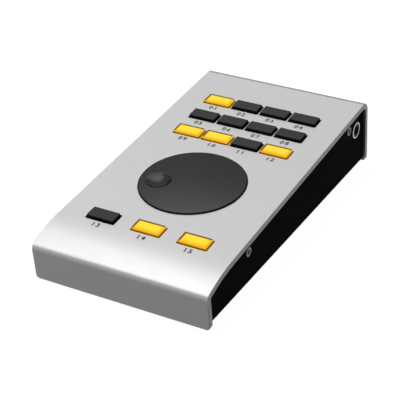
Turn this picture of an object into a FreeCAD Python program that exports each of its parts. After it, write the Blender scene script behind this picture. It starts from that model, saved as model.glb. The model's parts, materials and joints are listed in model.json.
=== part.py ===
import FreeCAD, Part
import math
import os
import re
import Sketcher

# Desktop studio monitor controller: a bent aluminium cover with fifteen lit push keys and one large
# dial, over a black folded tray. Millimetres and degrees.
#
# Everything that hangs from the cover is drawn in the cover's own frame: X to the right, Y to the
# rear along the plate, Z out of the plate, with the origin where the dial's axis meets its top face.
# Each finished piece then gets one Placement, which tips the plate by the wedge angle and lifts the
# controller onto its feet. The row frame's origin is the middle of the footprint, on the table.

SIZES = {
    # cover plate
    "cover_width": (106, "side to side"),
    "plate_thickness": (3.2, "aluminium sheet of the cover"),
    "rear_margin": (36.87, "last row of keys to the rear flap's outer face"),
    "nose_margin": (16.7, "front row of keys to the crease where the nose begins to slope"),
    "nose_length": (16.5, "crease to the front flap's outer face"),
    "nose_slope": (15, "slope of the nose against the plate, degrees"),
    "nose_blend": (80, "radius that rounds the crease"),
    "front_bend": (0.6, "inner radius of the front bend"),
    "rear_bend": (3.5, "inner radius of the rear bend"),
    "flap_corner": (2.2, "rounding of the flaps' lower corners"),
    "flap_overhang": (1.9, "how far the flaps reach below the tray"),
    "edge_round": (0.4, "broken edge along the cover's two sides"),
    "wedge_angle": (4.6, "slope of the plate over the table, degrees"),
    # tray
    "dial_height": (30, "plate's top face above the tray's underside, at the dial's axis"),
    "tray_wall": (2, "sheet of the tray"),
    "tray_recess": (1.5, "tray's side behind the cover's edge"),
    "tray_fold": (0.5, "outer rounding of the tray's two folds"),
    "cover_gap": (0.3, "between the tray's edges and the cover"),
    # feet
    "foot_radius": (6, "top of a rubber foot"),
    "foot_tread": (5.2, "radius where it stands"),
    "foot_height": (4, "rubber foot"),
    "foot_side": (12.5, "foot's centre in from the tray's side"),
    "foot_end": (13, "foot's centre in from the tray's ends"),
    # side rails and their screws
    "rail_width": (5.5, "across the rail"),
    "rail_height": (9, "below the plate"),
    "rail_gap": (0.3, "rail's rear end clear of the jack"),
    "rail_lead": (11.9, "rail's front end past the front screw"),
    "screw_drop": (8.9, "plate's top face to the side screws' axes"),
    "screw_front": (33.1, "dial axis forward to the front pair"),
    "screw_inset": (2.5, "rear screws in from the rail's rear end"),
    "screw_head": (2.75, "radius of a countersunk head"),
    "screw_shank": (1.45, "radius"),
    "screw_length": (7, "overall"),
    "screw_play": (0.1, "radial clearance of a screw in a plain hole"),
    "thread_play": (0.05, "radial gap of a screw in its thread"),
    "thread_spare": (0.3, "blind thread past its screw's end"),
    "cross_width": (0.7, "arm of the cross recess"),
    "cross_span": (3.2, "end to end of the cross recess"),
    "cross_depth": (0.9, "of the recess"),
    # keys
    "key_spacing": (2.11, "between two caps of a row, at the plate"),
    "key_depth": (8.45, "cap at the plate, front to rear"),
    "key_rise": (1.75, "cap above the plate"),
    "key_draft": (6, "slope of the cap's sides above the plate, degrees"),
    "key_corner": (0.5, "rounding of the cap's upright edges"),
    "key_edge": (0.2, "rounding of the cap's top edge"),
    "key_skirt": (5.4, "cap below the plate's top face"),
    "key_wall": (1.2, "skirt's wall"),
    "key_roof": (1.5, "cap's top wall"),
    "key_gap": (0.75, "slot round the cap"),
    "slot_corner": (1, "slot's corner radius"),
    "key_travel": (0.7, "press of a key"),
    "lip_length": (10, "catch on the skirt, side to side"),
    "lip_bite": (0.7, "catch under the plate, past the slot's edge"),
    "lip_height": (1, "catch"),
    "lip_gap": (0.2, "catch below the plate at rest"),
    "column_pitch": (18.86, "between the four columns"),
    "row_pitch": (18.74, "between the three rear rows"),
    "near_row": (46.85, "dial axis to the nearest rear row"),
    "front_row": (47.2, "dial axis forward to the front row"),
    "front_pitch": (28.09, "between the three front keys"),
    # key stems and switches
    "stem_radius": (1.75, "round stem under a cap"),
    "boss_radius": (3, "boss in the cap that takes the stem"),
    "boss_end": (9, "boss's lower end below the plate's top face"),
    "socket_depth": (4, "stem's hole in the boss"),
    "socket_play": (0.03, "radial play of the stem in the boss"),
    "switch_side": (6, "square switch body"),
    "switch_height": (3.5, "switch body"),
    "stem_play": (0.1, "radial play of the stem in the switch"),
    "stem_depth": (0.8, "stem's end inside the switch at rest"),
    "well_spare": (0.6, "room below the stem's end when pressed"),
    "led_length": (3.2, "lamp chip, side to side"),
    "led_depth": (2.8, "lamp chip, front to rear"),
    "led_height": (1.2, "lamp chip"),
    "led_place": (6.3, "switch's middle to the lamp's middle"),
    "catch_play": (0.5, "catch clear of the light frame's window"),
    "frame_wall": (0.8, "light frame's walls"),
    "frame_gap": (0.25, "light frame below the plate"),
    # dial
    "dial_radius": (30.5, "disc"),
    "dial_rim": (0.6, "disc's edge, from its underside to the top face"),
    "dial_bevel": (0.4, "bevel round the top face"),
    "dial_gap": (0.3, "disc above the plate"),
    "dial_web": (3.2, "dial's top wall"),
    "dial_wall": (2.4, "drum's wall"),
    "drum_gap": (0.6, "drum inside the well"),
    "drum_floor_gap": (2, "drum above the well's floor"),
    "hub_radius": (6, "hub round the shaft"),
    "hub_gap": (0.3, "hub above the bushing"),
    "dimple_radius": (7.4, "finger dish at its rim"),
    "dimple_depth": (1.5, "finger dish"),
    "dimple_inset": (11.3, "dish's middle in from the disc's edge"),
    "dimple_bearing": (198.7, "dish's bearing about the axis, degrees from the right"),
    "dimple_round": (1.2, "rounding of the dish's rim"),
    # well under the dial
    "well_inset": (1.9, "well's inside and the plate's round hole, in from the disc's edge"),
    "well_wall": (1.2, "sheet of the well"),
    "well_flange": (6.4, "width of its flange, from the well's inside"),
    "well_screw_place": (3.4, "well screws' axes out from the well's inside"),
    "well_screw_count": (4, "well screws"),
    # encoder
    "encoder_side": (12.4, "square encoder body"),
    "encoder_height": (6.8, "board to the top of the encoder's flange"),
    "encoder_flange": (1.5, "metal flange over the body"),
    "bushing_radius": (3.5, "threaded bushing"),
    "bushing_length": (5, "above the flange"),
    "shaft_radius": (3, "encoder shaft"),
    "shaft_cover": (2.1, "dial's wall over the shaft's top"),
    "shaft_play": (0.04, "radial running clearance in the bushing"),
    "shaft_fit": (0.02, "radial gap of the dial's bore on the shaft"),
    "shaft_foot": (2, "shaft's lower end above the board"),
    "shaft_flat": (1.5, "axis to the flat on the shaft"),
    "flat_room": (1, "lower end of the flat above the bushing"),
    "flat_spare": (0.3, "flat on the shaft below the flat in the dial's bore"),
    "shaft_room": (0.1, "radial room round the shaft in the encoder's body"),
    "shaft_drop": (0.6, "room under the shaft's lower end"),
    "washer_radius": (5.6, "encoder washer"),
    "washer_thickness": (0.5, "encoder washer"),
    "nut_corner": (5.8, "axis to a corner of the encoder nut"),
    "nut_height": (2, "encoder nut"),
    # circuit board and what carries it
    "board_rise": (10, "board's top above the tray's underside, at the dial's axis"),
    "pillar_corner": (2.6, "axis to a corner of a hexagon pillar"),
    "pillar_gap": (0.55, "pillar clear of a rail or a light frame"),
    "pillar_inset": (4, "rear pillars in from the board's edges"),
    "board_thickness": (1.6, "circuit board"),
    "board_gap": (0.3, "board's sides inside the rails' inner faces"),
    "board_margin": (1.8, "board's front edge past the front light frame"),
    "board_setback": (9.2, "board's rear edge inside the rear flap's outer face"),
    "board_screw": (1.2, "radius of the small screws' shanks"),
    "board_screw_head": (2.2, "radius of their heads"),
    "board_head_height": (1.4, "their heads"),
    "board_screw_bite": (5, "shank above the board"),
    "well_screw_bite": (2, "shank into the plate"),
    "chip_side": (12, "controller chip"),
    "chip_place": (19, "controller chip's middle, to the right of the dial's axis"),
    "small_chip_side": (7, "interface chip"),
    "chip_height": (1.2, "both chips"),
    "capacitor_radius": (3.15, "can"),
    "capacitor_height": (5.4, "can"),
    "capacitor_pitch": (8.5, "between cans"),
    "parts_inset": (11, "board's rear edge to the cans and the interface chip"),
    # socket for the computer's lead
    "usb_place": (24, "middle to the socket's middle, to the left"),
    "usb_width": (12, "shell"),
    "usb_height": (11, "shell"),
    "usb_depth": (16.5, "shell, front to rear"),
    "usb_recess": (0.6, "mouth behind the flap's outer face"),
    "usb_mouth_width": (8.6, "inside"),
    "usb_mouth_height": (8, "inside"),
    "usb_mouth_depth": (9.5, "inside"),
    "tongue_width": (5.6, "contact tongue"),
    "tongue_height": (3.1, "contact tongue"),
    "tongue_length": (7.5, "contact tongue"),
    "cutout_gap": (0.3, "flap's cut-out round the shell"),
    # jack
    "jack_inset": (14.3, "jack's axis in from the rear flap's outer face"),
    "jack_drop": (13.65, "plate's top face to the jack's axis"),
    "jack_length": (28, "body behind the tray's wall"),
    "jack_width": (14.4, "body, front to rear"),
    "jack_height": (15, "body"),
    "jack_bore": (3.2, "radius of the plug's hole"),
    "jack_nose": (4.35, "radius of the threaded nose"),
    "jack_nose_play": (0.2, "nose in the tray's hole"),
    "ring_radius": (4.9, "nut ring, outside"),
    "ring_thickness": (0.3, "nut ring"),
    "ring_round": (0.15, "rounding of the ring's outer edge"),
    "jack_back": (3, "wall behind the plug's hole"),
    "board_jack_gap": (1.4, "board clear of the jack"),
    "tab_width": (2.4, "jack's solder tab"),
    "tab_length": (4, "tab on the board"),
    "tab_height": (0.4, "tab"),
    "tab_first": (3, "first tab in from the jack's inner end"),
    "tab_pitch": (5.5, "between tabs"),
}

# Places in the cover's frame that several pieces share, as formulas of the sheet's cells.
HALF_WIDTH = "(cover_width / 2)"
UNDERSIDE = "(-plate_thickness)"
FRONT_BEND = "(front_bend + plate_thickness)"
REAR_BEND = "(rear_bend + plate_thickness)"
TRAY_OUTER = "(cover_width / 2 - tray_recess)"
TRAY_INNER = "(cover_width / 2 - tray_recess - tray_wall)"
LAST_ROW = "(near_row + 2 * row_pitch)"
REAR_REACH = f"({LAST_ROW} + rear_margin)"
NOSE_START = "(front_row + nose_margin)"
FRONT_REACH = "(front_row + nose_margin + nose_length)"
BEHIND_FRONT_FLAP = f"(-{FRONT_REACH} + plate_thickness)"
BEFORE_REAR_FLAP = f"({REAR_REACH} - plate_thickness)"
TRAY_FRONT = f"({BEHIND_FRONT_FLAP} + cover_gap)"
TRAY_REAR = f"({BEFORE_REAR_FLAP} - cover_gap)"
KEY_LENGTH = "(column_pitch - key_spacing)"
CATCH_DEPTH = "(key_depth + 2 * (key_gap + lip_bite))"
WINDOW_LENGTH = "(column_pitch - frame_wall)"
WINDOW_DEPTH = f"({CATCH_DEPTH} + 2 * catch_play)"
BOARD_TOP = "(board_rise - dial_height)"
BOARD_UNDER = f"({BOARD_TOP} - board_thickness)"
PILLAR_LENGTH = f"({UNDERSIDE} - {BOARD_TOP})"
SWITCH_TOP = f"({BOARD_TOP} + switch_height)"
BOSS_LOW = "(-boss_end)"
STEM_TOP = "(-boss_end + socket_depth)"
WELL_UNDER = f"({BOARD_TOP} + encoder_height)"
WELL_FLOOR = f"({WELL_UNDER} + well_wall)"
FLANGE_UNDER = "(-plate_thickness - well_wall)"
BUSHING_TOP = f"({WELL_UNDER} + bushing_length)"
DIAL_TOP = "(dial_gap + dial_rim)"
SHAFT_TOP = f"({DIAL_TOP} - shaft_cover)"
FLAT_LENGTH = f"({SHAFT_TOP} - {BUSHING_TOP} - flat_room)"
WELL_RADIUS = "(dial_radius - well_inset)"
WELL_OUTER = f"({WELL_RADIUS} + well_wall)"
FLANGE_RADIUS = f"({WELL_RADIUS} + well_flange)"
SCREW_RING = f"({WELL_RADIUS} + well_screw_place)"
DRUM_RADIUS = f"({WELL_RADIUS} - drum_gap)"
DISH_PLACE = "(dial_radius - dimple_inset)"
SCREW_HEAD_HEIGHT = "(screw_head - screw_shank)"
USB_MIDDLE = f"({BOARD_TOP} + usb_height / 2)"
USB_REAR = f"({REAR_REACH} - usb_recess)"
JACK_PLACE = f"({REAR_REACH} - jack_inset)"
JACK_FRONT = f"({JACK_PLACE} - jack_width / 2)"
JACK_LEFT = f"({TRAY_INNER} - jack_length)"
RING_FACE = f"({TRAY_OUTER} + ring_thickness)"
RAIL_REAR = f"({JACK_FRONT} - rail_gap)"
RAIL_FRONT = "(-screw_front - rail_lead)"
FRAME_REACH = f"({WINDOW_DEPTH} / 2 + frame_wall)"
PILLAR_CLEAR = "(pillar_gap + pillar_corner)"
PILLAR_SIDE = f"({TRAY_INNER} - rail_width - pillar_gap - pillar_corner * cos(30))"
BOARD_SIDE = f"({TRAY_INNER} - rail_width - board_gap)"
BOARD_FRONT = f"(-front_row - {FRAME_REACH} - board_margin)"
BOARD_REAR = f"({REAR_REACH} - board_setback)"
PARTS_LINE = f"({BOARD_REAR} - parts_inset)"
NOTCH_LEFT = f"({JACK_LEFT} - board_jack_gap)"
NOTCH_FRONT = f"({JACK_FRONT} - board_jack_gap)"

# Rows of keys: the row's place along the plate, how many keys, and their pitch.
KEY_ROWS = (
    (LAST_ROW, 4, "column_pitch"),
    ("near_row + row_pitch", 4, "column_pitch"),
    ("near_row", 4, "column_pitch"),
    ("-front_row", 3, "front_pitch"),
)
SIDES = ("1", "-1")
TRAY_SCREWS = ("(-screw_front)", f"({RAIL_REAR} - screw_inset)")
# Pillars: two behind the front light frame, two before the rear one, and two along the board's rear edge.
FRONT_PILLARS = f"(-front_row + {FRAME_REACH} + {PILLAR_CLEAR})"
MIDDLE_PILLARS = f"(near_row - {FRAME_REACH} - {PILLAR_CLEAR})"
REAR_PILLARS = f"({BOARD_REAR} - pillar_inset)"
PILLARS = (
    (PILLAR_SIDE, FRONT_PILLARS),
    (f"-{PILLAR_SIDE}", FRONT_PILLARS),
    (PILLAR_SIDE, MIDDLE_PILLARS),
    (f"-{PILLAR_SIDE}", MIDDLE_PILLARS),
    (f"({NOTCH_LEFT} - pillar_inset)", REAR_PILLARS),
    (f"-{PILLAR_SIDE}", REAR_PILLARS),
)
CAPACITORS = 3
JACK_TABS = 3

doc = FreeCAD.newDocument("monitor_controller")
sheet = doc.addObject("Spreadsheet::Sheet", "Sizes")
for line, (alias, (number, meaning)) in enumerate(SIZES.items(), start=1):
    sheet.set(f"A{line}", alias)
    sheet.set(f"B{line}", str(number))
    sheet.set(f"C{line}", meaning)
    sheet.setAlias(f"B{line}", alias)
doc.recompute()
nodes = []


def cells(formula):
    """A formula with the sheet's name put before each of its aliases."""
    return re.sub(r"[a-z_]+", lambda word: f"Sizes.{word[0]}" if word[0] in SIZES else word[0], formula)


def value(formula):
    """What a formula gives with the sheet as it is."""
    return float(sheet.evalExpression(cells(formula)))


def bind(target, **formulas):
    """Tie properties of an object to formulas of the sheet."""
    for name, formula in formulas.items():
        target.setExpression(name, cells(formula))
    return target


def move(target, x="0", y="0", z="0"):
    """Tie an object's position to formulas."""
    for axis, formula in (("x", x), ("y", y), ("z", z)):
        target.setExpression(f"Placement.Base.{axis}", cells(formula))
    return target


def floor_depth(along):
    """Plate's top face to the tray's underside, measured square to the plate."""
    return f"(dial_height / cos(wedge_angle) + ({along}) * tan(wedge_angle))"


def nose_depth(along, below="0"):
    """How deep the sloping nose lies, for a surface so far below the plate's outer faces."""
    return f"((-{NOSE_START} - ({along})) * tan(nose_slope) + ({below}) / cos(nose_slope))"


def nose_crease(below):
    """Where the flat and the nose meet, for a surface so far below the plate's outer faces."""
    return f"(-{NOSE_START} + ({below}) * tan(nose_slope / 2))"


FRONT_FLAP_END = f"({floor_depth(BEHIND_FRONT_FLAP)} + flap_overhang)"
REAR_FLAP_END = f"({floor_depth(BEFORE_REAR_FLAP)} + flap_overhang)"
BEND_MIDDLE = f"(-{FRONT_REACH} + {FRONT_BEND})"
FOREMOST = (
    f"({BEND_MIDDLE} * cos(wedge_angle) + {nose_depth(BEND_MIDDLE, FRONT_BEND)} * sin(wedge_angle)"
    f" - {FRONT_BEND})"
)
HINDMOST = f"({REAR_REACH} * cos(wedge_angle) + {REAR_FLAP_END} * sin(wedge_angle))"
FOOTPRINT_MIDDLE = f"(({FOREMOST} + {HINDMOST}) / 2)"
LIFT = "(foot_height + dial_height)"


def keep(piece, name, tipped=True):
    """Label a finished piece as a node, and put it in the row frame."""
    piece.Label = name
    if tipped:
        piece.Placement = FreeCAD.Placement(FreeCAD.Vector(), FreeCAD.Rotation(FreeCAD.Vector(1, 0, 0), 1))
        move(piece, "0", f"-{FOOTPRINT_MIDDLE}", LIFT)
        bind(piece, **{"Placement.Rotation.Angle": "wedge_angle"})
    nodes.append(piece)
    return piece


# ---- sketched bodies -------------------------------------------------------------------------

def new_body(name):
    return doc.addObject("PartDesign::Body", f"body_{name}")


def new_sketch(body, plane, name, offset="0"):
    """A sketch on one of the body's own origin planes, moved along the plane's normal."""
    sketch = body.newObject("Sketcher::SketchObject", name)
    face = [feature for feature in body.Origin.OriginFeatures if feature.Role == plane][0]
    sketch.AttachmentSupport = [(face, "")]
    sketch.MapMode = "FlatFace"
    bind(sketch, **{"AttachmentOffset.Base.z": offset})
    return sketch


def fix_point(sketch, curve, end, x, y):
    """Tie one point of a sketch's curve to formulas for its two coordinates."""
    for kind, formula in (("DistanceX", x), ("DistanceY", y)):
        number = sketch.addConstraint(Sketcher.Constraint(kind, -1, 1, curve, end, value(formula)))
        sketch.setExpression(f"Constraints[{number}]", cells(formula))


def polygon(body, plane, name, corners, offset="0"):
    """A closed outline of straight lines whose corners are pairs of formulas."""
    sketch = new_sketch(body, plane, name, offset)
    places = [FreeCAD.Vector(value(x), value(y), 0) for x, y in corners]
    count = len(corners)
    for index in range(count):
        sketch.addGeometry(Part.LineSegment(places[index], places[(index + 1) % count]), False)
    for index in range(count):
        sketch.addConstraint(Sketcher.Constraint("Coincident", index, 2, (index + 1) % count, 1))
    for index, (x, y) in enumerate(corners):
        fix_point(sketch, index, 1, x, y)
    return sketch


def rectangle(body, plane, name, x, y, length, depth, offset="0"):
    """A rectangle about its middle."""
    low_x, high_x = f"({x}) - ({length}) / 2", f"({x}) + ({length}) / 2"
    low_y, high_y = f"({y}) - ({depth}) / 2", f"({y}) + ({depth}) / 2"
    corners = [(low_x, low_y), (high_x, low_y), (high_x, high_y), (low_x, high_y)]
    return polygon(body, plane, name, corners, offset)


def circles(body, plane, name, rounds, offset="0"):
    """Circles, each given by formulas for its middle and radius."""
    sketch = new_sketch(body, plane, name, offset)
    for x, y, radius in rounds:
        middle = FreeCAD.Vector(value(x), value(y), 0)
        curve = sketch.addGeometry(Part.Circle(middle, FreeCAD.Vector(0, 0, 1), value(radius)), False)
        fix_point(sketch, curve, 3, x, y)
        number = sketch.addConstraint(Sketcher.Constraint("Radius", curve, value(radius)))
        sketch.setExpression(f"Constraints[{number}]", cells(radius))
    return sketch


def rounded_slot(body, plane, name, x, y, length, depth, corner):
    """A rectangle about its middle, with round corners tangent to its sides."""
    sketch = new_sketch(body, plane, name)
    half_x, half_y, radius = value(f"({length}) / 2"), value(f"({depth}) / 2"), value(corner)
    middle = FreeCAD.Vector(value(x), value(y), 0)
    sides, arcs = [], []
    for quarter in range(4):
        turn = FreeCAD.Rotation(FreeCAD.Vector(0, 0, 1), 90 * quarter)
        reach, rise = (half_x, half_y) if quarter % 2 == 0 else (half_y, half_x)
        start = middle + turn.multVec(FreeCAD.Vector(-reach + radius, -rise, 0))
        stop = middle + turn.multVec(FreeCAD.Vector(reach - radius, -rise, 0))
        centre = middle + turn.multVec(FreeCAD.Vector(reach - radius, -rise + radius, 0))
        ring = Part.Circle(centre, FreeCAD.Vector(0, 0, 1), radius)
        sides.append(sketch.addGeometry(Part.LineSegment(start, stop), False))
        angles = math.radians(90 * quarter - 90), math.radians(90 * quarter)
        arcs.append(sketch.addGeometry(Part.ArcOfCircle(ring, *angles), False))
    for quarter in range(4):
        following = sides[(quarter + 1) % 4]
        sketch.addConstraint(Sketcher.Constraint("Tangent", sides[quarter], 2, arcs[quarter], 1))
        sketch.addConstraint(Sketcher.Constraint("Tangent", arcs[quarter], 2, following, 1))
        sketch.addConstraint(Sketcher.Constraint("Vertical" if quarter % 2 else "Horizontal", sides[quarter]))
    for arc in arcs[1:]:
        sketch.addConstraint(Sketcher.Constraint("Equal", arcs[0], arc))
    limits = (
        ("Radius", (arcs[0],), corner),
        ("DistanceY", (-1, 1, sides[0], 1), f"({y}) - ({depth}) / 2"),
        ("DistanceX", (-1, 1, sides[1], 1), f"({x}) + ({length}) / 2"),
        ("DistanceY", (-1, 1, sides[2], 1), f"({y}) + ({depth}) / 2"),
        ("DistanceX", (-1, 1, sides[3], 1), f"({x}) - ({length}) / 2"),
    )
    for kind, which, formula in limits:
        number = sketch.addConstraint(Sketcher.Constraint(kind, *which, value(formula)))
        sketch.setExpression(f"Constraints[{number}]", cells(formula))
    return sketch


def solid_volume(body):
    return body.Shape.Volume if body.Tip else 0.0


def finish_feature(body, feature, before, grows):
    """Recompute a new feature and make sure that it added or removed material."""
    body.Tip = feature
    doc.recompute()
    change = solid_volume(body) - before
    if (change > 0) != grows or abs(change) < 1e-6:
        raise RuntimeError(f"{body.Name}.{feature.Name} changed the volume by {change}")
    return feature


def pad(body, sketch, name, length, symmetric=False, reverse=False):
    """Material from a sketch, along the plane's normal."""
    before = solid_volume(body)
    feature = body.newObject("PartDesign::Pad", name)
    feature.Profile = sketch
    feature.SideType = "Symmetric" if symmetric else "One side"
    feature.Reversed = reverse
    bind(feature, Length=length)
    return finish_feature(body, feature, before, True)


def pocket(body, sketch, name, length, symmetric=False, reverse=False):
    """A cut from a sketch, against the plane's normal unless it is reversed."""
    before = solid_volume(body)
    feature = body.newObject("PartDesign::Pocket", name)
    feature.Profile = sketch
    feature.SideType = "Symmetric" if symmetric else "One side"
    feature.Reversed = reverse
    bind(feature, Length=length)
    return finish_feature(body, feature, before, False)


def pattern(body, feature, sketch, axis, length, count):
    """Copies of a cut along one axis of its sketch, over a length from the first to the last."""
    before = solid_volume(body)
    copies = body.newObject("PartDesign::LinearPattern", f"{feature.Name}_pattern")
    copies.Originals = [feature]
    copies.Direction = (sketch, [axis])
    copies.Occurrences = count
    bind(copies, Length=length)
    return finish_feature(body, copies, before, False)


def revolve(body, sketch, name):
    """A solid of revolution about the sketch's upright axis."""
    feature = body.newObject("PartDesign::Revolution", name)
    feature.Profile = sketch
    feature.ReferenceAxis = (sketch, ["V_Axis"])
    feature.Angle = 360
    return finish_feature(body, feature, 0.0, True)


def edges_where(body, test):
    """Names of the tip's edges for which a test of the middle and the length holds."""
    found = []
    for number, edge in enumerate(body.Tip.Shape.Edges, start=1):
        if test(edge.CenterOfMass, edge):
            found.append(f"Edge{number}")
    return found


def round_edges(body, name, radius, test):
    """Round the tip's edges for which the test holds."""
    names = edges_where(body, test)
    if not names:
        raise RuntimeError(f"{body.Name}.{name} found no edges")
    base = body.Tip
    feature = body.newObject("PartDesign::Fillet", name)
    feature.Base = (base, names)
    bind(feature, Radius=radius)
    body.Tip = feature
    doc.recompute()
    return feature


def near(number, formula):
    return abs(number - value(formula)) < 0.01


# ---- primitives --------------------------------------------------------------------------------

def box(name, x, y, z, length, depth, height):
    """A block about the middle of its length and depth, standing on z."""
    block = doc.addObject("Part::Box", name)
    bind(block, Length=length, Width=depth, Height=height)
    return move(block, f"({x}) - ({length}) / 2", f"({y}) - ({depth}) / 2", z)


def cylinder(name, x, y, z, radius, height):
    """An upright cylinder standing on z."""
    rod = doc.addObject("Part::Cylinder", name)
    bind(rod, Radius=radius, Height=height)
    return move(rod, x, y, z)


def prism(name, x, y, z, corner, height):
    """An upright hexagonal prism standing on z."""
    block = doc.addObject("Part::Prism", name)
    block.Polygon = 6
    bind(block, Circumradius=corner, Height=height)
    return move(block, x, y, z)


def cut(name, base, *tools):
    """A solid less one or more others."""
    tool = tools[0]
    if len(tools) > 1:
        tool = doc.addObject("Part::MultiFuse", f"{name}_tools")
        tool.Shapes = list(tools)
    result = doc.addObject("Part::Cut", name)
    result.Base = base
    result.Tool = tool
    return result


def fuse(name, *solids):
    """One solid of several."""
    result = doc.addObject("Part::MultiFuse", name)
    result.Shapes = list(solids)
    result.Refine = True
    return result


def group(name, solids, tipped=True):
    """One or more separate solids as one node."""
    result = doc.addObject("Part::Compound", f"{name}_group")
    result.Links = list(solids)
    return keep(result, name, tipped)


def key_places():
    """Number and formulas for the middle of each key, row by row from the rear left."""
    number = 0
    for row, count, pitch in KEY_ROWS:
        for column in range(count):
            number += 1
            yield f"{number:02d}", f"({2 * column + 1 - count} * {pitch} / 2)", f"({row})"


# ---- cover ---------------------------------------------------------------------------------------

def make_cover_plate():
    """Sheet bent down at the front and the rear, with key slots, the dial's hole and a cut-out."""
    body = new_body("cover_plate")
    side = [
        (REAR_REACH, f"-{REAR_FLAP_END}"),
        (REAR_REACH, "0"),
        (f"-{NOSE_START}", "0"),
        (f"-{FRONT_REACH}", f"-{nose_depth(f'-{FRONT_REACH}')}"),
        (f"-{FRONT_REACH}", f"-{FRONT_FLAP_END}"),
        (BEHIND_FRONT_FLAP, f"-{FRONT_FLAP_END}"),
        (BEHIND_FRONT_FLAP, f"-{nose_depth(BEHIND_FRONT_FLAP, 'plate_thickness')}"),
        (nose_crease("plate_thickness"), UNDERSIDE),
        (BEFORE_REAR_FLAP, UNDERSIDE),
        (BEFORE_REAR_FLAP, f"-{REAR_FLAP_END}"),
    ]
    pad(body, polygon(body, "YZ_Plane", "side", side), "sheet", "cover_width", symmetric=True)

    def across(number):
        """The long edge that starts at one corner of the side view."""
        y, z = side[number]
        return lambda middle, edge: near(middle.x, "0") and near(middle.y, y) and near(middle.z, z)

    round_edges(body, "nose_outside", "nose_blend", across(2))
    round_edges(body, "nose_inside", "nose_blend - plate_thickness", across(7))
    round_edges(body, "rear_bend_outside", REAR_BEND, across(1))
    round_edges(body, "front_bend_outside", FRONT_BEND, across(3))
    round_edges(body, "front_bend_inside", "front_bend", across(6))
    round_edges(body, "rear_bend_inside", "rear_bend", across(8))

    def is_flap_corner(middle, edge):
        low = near(middle.z, f"-{REAR_FLAP_END}") or near(middle.z, f"-{FRONT_FLAP_END}")
        return low and near(abs(middle.x), HALF_WIDTH)

    round_edges(body, "flap_corners", "flap_corner", is_flap_corner)
    front_edge = value(BEND_MIDDLE)
    rear_edge = value(f"{REAR_REACH} - {REAR_BEND}")

    def is_side_edge(middle, edge):
        return near(abs(middle.x), HALF_WIDTH) and near(middle.z, "0") and front_edge < middle.y < rear_edge

    round_edges(body, "side_edges", "edge_round", is_side_edge)
    for number, (row, count, pitch) in enumerate(KEY_ROWS, start=1):
        slot = rounded_slot(body, "XY_Plane", f"slot_{number}", f"{1 - count} * {pitch} / 2", row,
                            f"{KEY_LENGTH} + 2 * key_gap", "key_depth + 2 * key_gap", "slot_corner")
        cut_slot = pocket(body, slot, f"key_slot_{number}", "2 * plate_thickness")
        pattern(body, cut_slot, slot, "H_Axis", f"{count - 1} * {pitch}", count)
    hole = circles(body, "XY_Plane", "dial_outline", [("0", "0", WELL_RADIUS)])
    pocket(body, hole, "dial_hole", "2 * plate_thickness")
    rounds = well_screw_rounds("board_screw + thread_play")
    threads = circles(body, "XY_Plane", "thread_outline", rounds, UNDERSIDE)
    pocket(body, threads, "well_threads", "well_screw_bite + thread_spare", reverse=True)
    mouth = rectangle(body, "XZ_Plane", "cutout", "-usb_place", USB_MIDDLE,
                      "usb_width + 2 * cutout_gap", "usb_height + 2 * cutout_gap")
    pocket(body, mouth, "usb_cutout", f"{REAR_REACH} + plate_thickness")
    keep(body, "cover_plate")


def well_screw_rounds(radius):
    """Circles for the ring of screws that holds the well."""
    rounds = []
    count = int(value("well_screw_count"))
    for index in range(count):
        turn = f"({index} * 360 / well_screw_count + 180 / well_screw_count)"
        rounds.append((f"{SCREW_RING} * cos({turn})", f"{SCREW_RING} * sin({turn})", radius))
    return rounds


def make_cover_rails():
    """Bars under the plate's two sides, tapped for the tray's screws."""
    for side, name in zip(SIDES, ("cover_rail_right", "cover_rail_left")):
        bar = box(f"{name}_bar", f"{side} * ({TRAY_INNER} - rail_width / 2)",
                  f"({RAIL_REAR} + {RAIL_FRONT}) / 2", f"{UNDERSIDE} - rail_height",
                  "rail_width", f"{RAIL_REAR} - {RAIL_FRONT}", "rail_height")
        threads = []
        for number, place in enumerate(TRAY_SCREWS):
            thread = cylinder(f"{name}_thread_{number}", f"{side} * {TRAY_OUTER}", place, "-screw_drop",
                              "screw_shank + thread_play", "tray_wall + 2 * rail_width")
            lay_across(thread, side)
            threads.append(thread)
        keep(cut(f"{name}_tapped", bar, *threads), name)


def lay_across(rod, side):
    """Turn an upright round solid so that it points from the given side towards the middle."""
    angle = -90 if side == "1" else 90
    rod.Placement.Rotation = FreeCAD.Rotation(FreeCAD.Vector(0, 1, 0), angle)


# ---- tray and feet -------------------------------------------------------------------------------

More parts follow.
